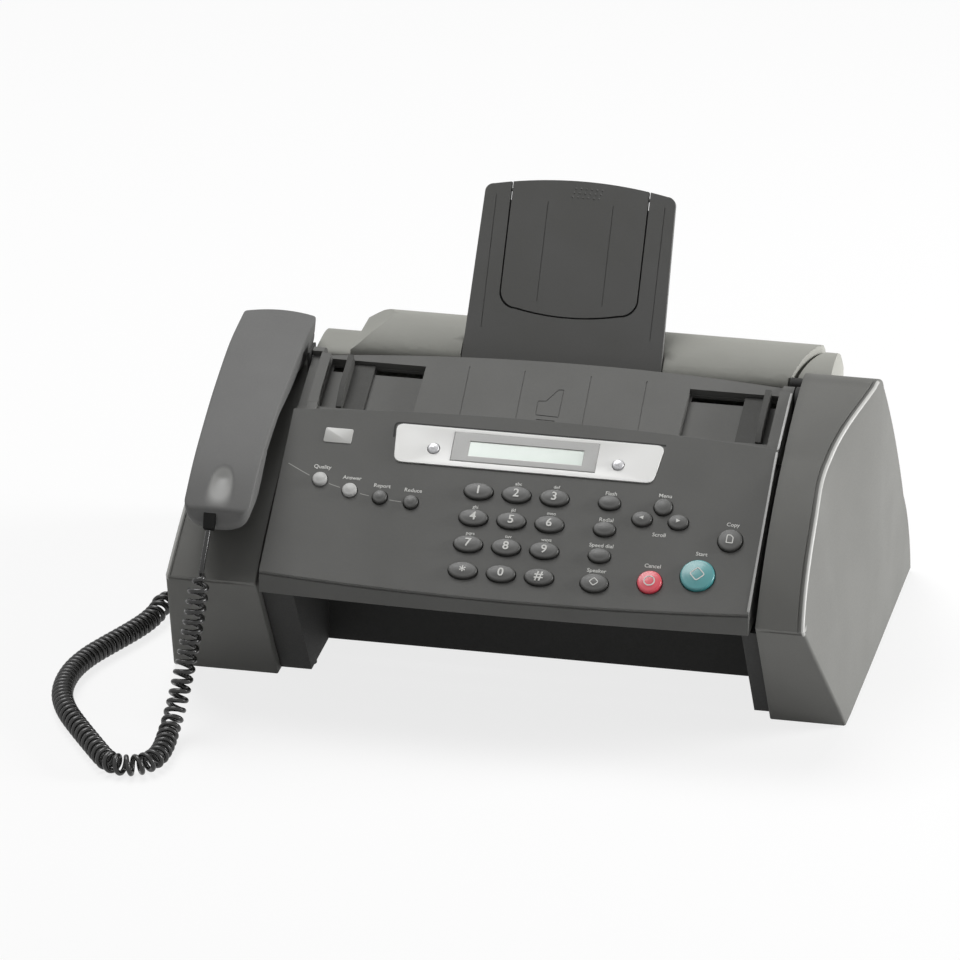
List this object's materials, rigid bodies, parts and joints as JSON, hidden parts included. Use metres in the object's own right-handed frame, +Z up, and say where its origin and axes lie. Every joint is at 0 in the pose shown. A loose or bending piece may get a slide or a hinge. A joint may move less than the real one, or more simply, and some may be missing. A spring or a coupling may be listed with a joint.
{
  "type": "fax machine",
  "caption": "Desktop fax machine with a hinged control panel, numeric keypad, display, document tray, paper support, and a corded handset on a side cradle.",
  "frame": {"origin": "middle of the footprint on the surface that the machine stands on", "axes": "+X to the user's right, -Y towards the user, +Z up"},
  "size_m": [0.4082, 0.3363, 0.2308],
  "materials": {
    "dark_case": "fine moulded texture",
    "grey_case": "fine moulded texture",
    "panel_grey": "fine moulded texture",
    "handset_grey": "fine moulded texture",
    "white_trim": "satin",
    "silver_trim": "satin",
    "display_glass": "clear window",
    "key_dark": "satin",
    "key_pale": "satin",
    "key_teal": "satin",
    "key_red": "satin",
    "rubber": "matt",
    "steel": "brushed",
    "circuit_board": "solder mask",
    "cartridge_black": "satin",
    "cord_black": "satin",
    "clear_plug": "clear smoke"
  },
  "bodies": {
    "chassis": {"base_pan": "dark_case", "rubber_feet": "rubber", "left_end_housing": "grey_case", "right_end_housing": "grey_case", "rear_cover": "grey_case", "paper_support": "grey_case", "door_hinge_pins": "steel", "carriage_rod": "steel", "main_board": "circuit_board", "feed_motor": "steel", "base_plug": "clear_plug", "handset_cord": "cord_black"},
    "door": {"control_panel": "panel_grey", "door_liner": "dark_case", "document_tray": "grey_case", "display_bezel": "white_trim", "display_frame": "silver_trim", "display_window": "display_glass", "keypad_board": "circuit_board", "scan_bar": "dark_case"},
    "guide_left": {"document_guide_left": "grey_case"},
    "guide_right": {"document_guide_right": "grey_case"},
    "pinion": {"guide_pinion": "white_trim"},
    "flap": {"paper_support_flap": "grey_case"},
    "handset": {"handset_upper_shell": "handset_grey", "handset_lower_shell": "handset_grey", "handset_plug": "clear_plug"},
    "hook": {"hook_switch": "dark_case"},
    "carriage": {"print_carriage": "dark_case", "ink_cartridge": "cartridge_black"},
    "feed_roller": {"paper_feed_roller": "rubber"},
    "drive": {"drive_pinion": "white_trim"},
    "key_1": {"key_1": "key_dark"},
    "key_2": {"key_2": "key_dark"},
    "key_3": {"key_3": "key_dark"},
    "key_4": {"key_4": "key_dark"},
    "key_5": {"key_5": "key_dark"},
    "key_6": {"key_6": "key_dark"},
    "key_7": {"key_7": "key_dark"},
    "key_8": {"key_8": "key_dark"},
    "key_9": {"key_9": "key_dark"},
    "key_star": {"key_star": "key_dark"},
    "key_0": {"key_0": "key_dark"},
    "key_hash": {"key_hash": "key_dark"},
    "flash_button": {"flash_button": "key_dark"},
    "redial_button": {"redial_button": "key_dark"},
    "speed_dial_button": {"speed_dial_button": "key_dark"},
    "speaker_button": {"speaker_button": "key_dark"},
    "menu_button": {"menu_button": "key_dark"},
    "scroll_left_button": {"scroll_left_button": "key_dark"},
    "scroll_right_button": {"scroll_right_button": "key_dark"},
    "copy_button": {"copy_button": "key_dark"},
    "cancel_button": {"cancel_button": "key_red"},
    "start_button": {"start_button": "key_teal"},
    "mode_button_1": {"mode_button_1": "key_pale"},
    "mode_button_2": {"mode_button_2": "key_pale"},
    "mode_button_3": {"mode_button_3": "key_dark"},
    "mode_button_4": {"mode_button_4": "key_dark"},
    "display_button_left": {"display_button_left": "key_pale"},
    "display_button_right": {"display_button_right": "key_pale"}
  },
  "joints": [
    {"name": "door_hinge", "type": "hinge", "parent": "chassis", "child": "door", "pos_m": [0, 0.006, 0.146], "axis": [-1, 0, 0], "range_deg": [0, 50]},
    {"name": "key_1_press", "type": "slide", "parent": "door", "child": "key_1", "axis": [0, 0.5764, -0.8171], "range_m": [0, 0.0015], "stiffness_N_per_m": 400},
    {"name": "key_2_press", "type": "slide", "parent": "door", "child": "key_2", "axis": [0, 0.5764, -0.8171], "range_m": [0, 0.0015], "stiffness_N_per_m": 400},
    {"name": "key_3_press", "type": "slide", "parent": "door", "child": "key_3", "axis": [0, 0.5764, -0.8171], "range_m": [0, 0.0015], "stiffness_N_per_m": 400},
    {"name": "key_4_press", "type": "slide", "parent": "door", "child": "key_4", "axis": [0, 0.5764, -0.8171], "range_m": [0, 0.0015], "stiffness_N_per_m": 400},
    {"name": "key_5_press", "type": "slide", "parent": "door", "child": "key_5", "axis": [0, 0.5764, -0.8171], "range_m": [0, 0.0015], "stiffness_N_per_m": 400},
    {"name": "key_6_press", "type": "slide", "parent": "door", "child": "key_6", "axis": [0, 0.5764, -0.8171], "range_m": [0, 0.0015], "stiffness_N_per_m": 400},
    {"name": "key_7_press", "type": "slide", "parent": "door", "child": "key_7", "axis": [0, 0.5764, -0.8171], "range_m": [0, 0.0015], "stiffness_N_per_m": 400},
    {"name": "key_8_press", "type": "slide", "parent": "door", "child": "key_8", "axis": [0, 0.5764, -0.8171], "range_m": [0, 0.0015], "stiffness_N_per_m": 400},
    {"name": "key_9_press", "type": "slide", "parent": "door", "child": "key_9", "axis": [0, 0.5764, -0.8171], "range_m": [0, 0.0015], "stiffness_N_per_m": 400},
    {"name": "key_star_press", "type": "slide", "parent": "door", "child": "key_star", "axis": [0, 0.5764, -0.8171], "range_m": [0, 0.0015], "stiffness_N_per_m": 400},
    {"name": "key_0_press", "type": "slide", "parent": "door", "child": "key_0", "axis": [0, 0.5764, -0.8171], "range_m": [0, 0.0015], "stiffness_N_per_m": 400},
    {"name": "key_hash_press", "type": "slide", "parent": "door", "child": "key_hash", "axis": [0, 0.5764, -0.8171], "range_m": [0, 0.0015], "stiffness_N_per_m": 400},
    {"name": "flash_button_press", "type": "slide", "parent": "door", "child": "flash_button", "axis": [0, 0.5764, -0.8171], "range_m": [0, 0.0015], "stiffness_N_per_m": 400},
    {"name": "redial_button_press", "type": "slide", "parent": "door", "child": "redial_button", "axis": [0, 0.5764, -0.8171], "range_m": [0, 0.0015], "stiffness_N_per_m": 400},
    {"name": "speed_dial_button_press", "type": "slide", "parent": "door", "child": "speed_dial_button", "axis": [0, 0.5764, -0.8171], "range_m": [0, 0.0015], "stiffness_N_per_m": 400},
    {"name": "speaker_button_press", "type": "slide", "parent": "door", "child": "speaker_button", "axis": [0, 0.5764, -0.8171], "range_m": [0, 0.0015], "stiffness_N_per_m": 400},
    {"name": "menu_button_press", "type": "slide", "parent": "door", "child": "menu_button", "axis": [0, 0.5764, -0.8171], "range_m": [0, 0.0015], "stiffness_N_per_m": 400},
    {"name": "scroll_left_button_press", "type": "slide", "parent": "door", "child": "scroll_left_button", "axis": [0, 0.5764, -0.8171], "range_m": [0, 0.0015], "stiffness_N_per_m": 400},
    {"name": "scroll_right_button_press", "type": "slide", "parent": "door", "child": "scroll_right_button", "axis": [0, 0.5764, -0.8171], "range_m": [0, 0.0015], "stiffness_N_per_m": 400},
    {"name": "copy_button_press", "type": "slide", "parent": "door", "child": "copy_button", "axis": [0, 0.5764, -0.8171], "range_m": [0, 0.0015], "stiffness_N_per_m": 400},
    {"name": "cancel_button_press", "type": "slide", "parent": "door", "child": "cancel_button", "axis": [0, 0.5764, -0.8171], "range_m": [0, 0.0015], "stiffness_N_per_m": 400},
    {"name": "start_button_press", "type": "slide", "parent": "door", "child": "start_button", "axis": [0, 0.5764, -0.8171], "range_m": [0, 0.0015], "stiffness_N_per_m": 400},
    {"name": "mode_button_1_press", "type": "slide", "parent": "door", "child": "mode_button_1", "axis": [0, 0.5764, -0.8171], "range_m": [0, 0.0015], "stiffness_N_per_m": 400},
    {"name": "mode_button_2_press", "type": "slide", "parent": "door", "child": "mode_button_2", "axis": [0, 0.5764, -0.8171], "range_m": [0, 0.0015], "stiffness_N_per_m": 400},
    {"name": "mode_button_3_press", "type": "slide", "parent": "door", "child": "mode_button_3", "axis": [0, 0.5764, -0.8171], "range_m": [0, 0.0015], "stiffness_N_per_m": 400},
    {"name": "mode_button_4_press", "type": "slide", "parent": "door", "child": "mode_button_4", "axis": [0, 0.5764, -0.8171], "range_m": [0, 0.0015], "stiffness_N_per_m": 400},
    {"name": "display_button_left_press", "type": "slide", "parent": "door", "child": "display_button_left", "axis": [0, 0.5764, -0.8171], "range_m": [0, 0.0015], "stiffness_N_per_m": 400},
    {"name": "display_button_right_press", "type": "slide", "parent": "door", "child": "display_button_right", "axis": [0, 0.5764, -0.8171], "range_m": [0, 0.0015], "stiffness_N_per_m": 400},
    {"name": "guide_right_slide", "type": "slide", "parent": "door", "child": "guide_right", "axis": [-1, 0, 0], "range_m": [0, 0.022]},
    {"name": "guide_left_slide", "type": "slide", "parent": "door", "child": "guide_left", "axis": [1, 0, 0], "range_m": [0, 0.022]},
    {"name": "guide_pinion_spin", "type": "hinge", "parent": "door", "child": "pinion", "pos_m": [0.012, -0.01297, 0.14331], "axis": [0, -0.3746, 0.9272], "range_deg": [0, 185]},
    {"name": "flap_hinge", "type": "hinge", "parent": "chassis", "child": "flap", "pos_m": [0.009, 0.06971, 0.22411], "axis": [-1, 0, 0], "range_deg": [0, 172]},
    {"name": "handset_lift", "type": "slide", "parent": "chassis", "child": "handset", "axis": [0, 0, 1], "range_m": [0, 0.12], "deforming": ["handset_cord"]},
    {"name": "hook_travel", "type": "slide", "parent": "chassis", "child": "hook", "axis": [0, 0, 1], "range_m": [0, 0.003]},
    {"name": "carriage_slide", "type": "slide", "parent": "chassis", "child": "carriage", "axis": [-1, 0, 0], "range_m": [0, 0.16]},
    {"name": "feed_roller_spin", "type": "hinge", "parent": "chassis", "child": "feed_roller", "pos_m": [0, 0.017, 0.036], "axis": [1, 0, 0], "continuous": true},
    {"name": "drive_pinion_spin", "type": "hinge", "parent": "chassis", "child": "drive", "pos_m": [0.131, 0.039, 0.036], "axis": [1, 0, 0], "continuous": true}
  ],
  "couplings": [
    {"joint": "guide_left_slide", "follows": "guide_right_slide", "ratio": 1},
    {"joint": "guide_pinion_spin", "follows": "guide_right_slide", "rad_per_m": 142.86},
    {"joint": "hook_travel", "follows": "handset_lift", "ratio": 0.025},
    {"joint": "drive_pinion_spin", "follows": "feed_roller_spin", "ratio": -2.6667}
  ]
}
